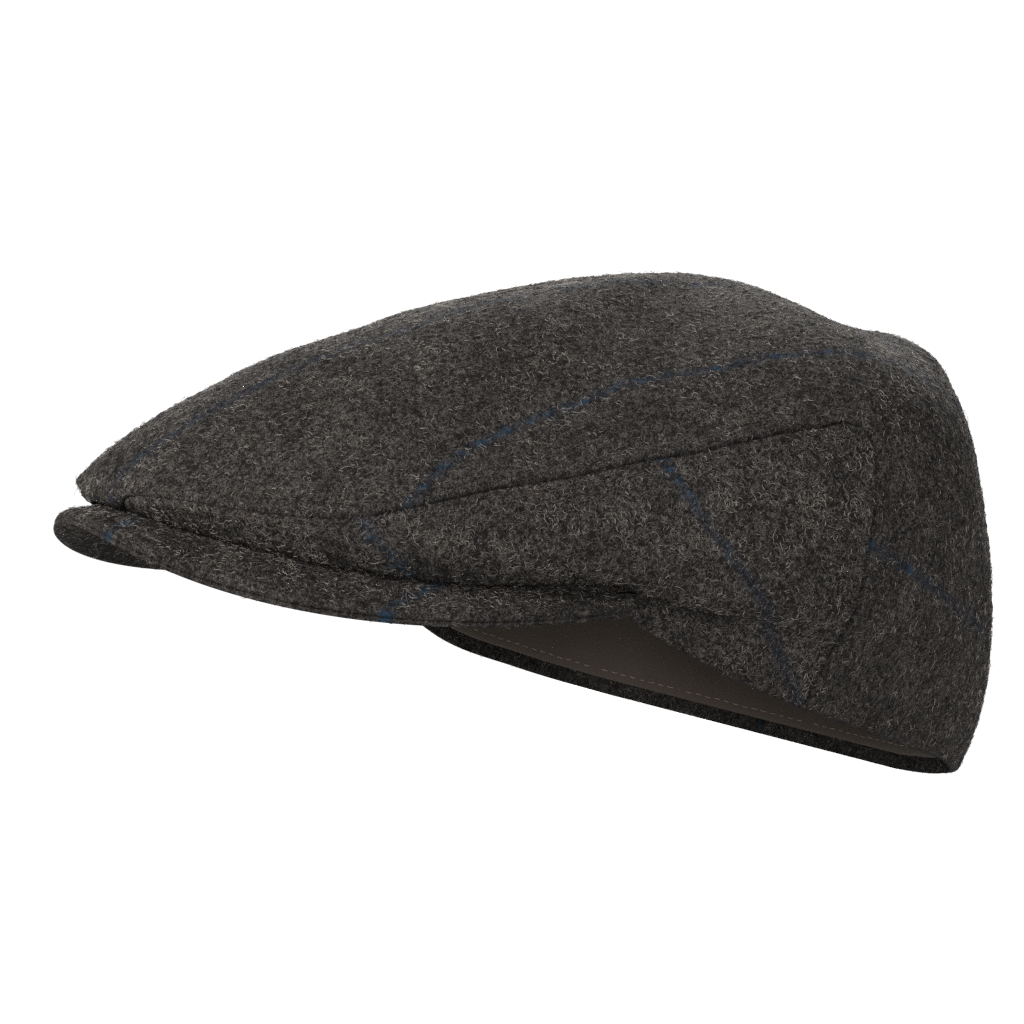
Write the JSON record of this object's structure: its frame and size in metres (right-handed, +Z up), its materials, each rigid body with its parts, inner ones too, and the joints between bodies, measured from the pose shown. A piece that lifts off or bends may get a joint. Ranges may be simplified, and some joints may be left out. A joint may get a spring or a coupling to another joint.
{
  "type": "flat cap",
  "caption": "Soft wool tweed flat cap with a rounded crown of sewn panels, a short drooping stiff peak and a smooth inner sweatband.",
  "frame": {"origin": "on the floor under the middle of the cap's length and width, as it lies on its rim and peak", "axes": "+Z up, the peak points along -Y, the wearer's left is +X"},
  "size_m": [0.1926, 0.2738, 0.1217],
  "materials": {
    "wool_top": "napped wool tweed, matte",
    "wool_side": "napped wool tweed, matte",
    "wool_peak": "napped wool tweed, matte",
    "band_cloth": "smooth woven cloth, slight sheen"
  },
  "bodies": {
    "root": {"top_panel": "wool_top", "side_panel_left": "wool_side", "side_panel_right": "wool_side", "peak_upper": "wool_peak", "peak_under": "wool_peak", "sweatband": "band_cloth"}
  },
  "joints": []
}
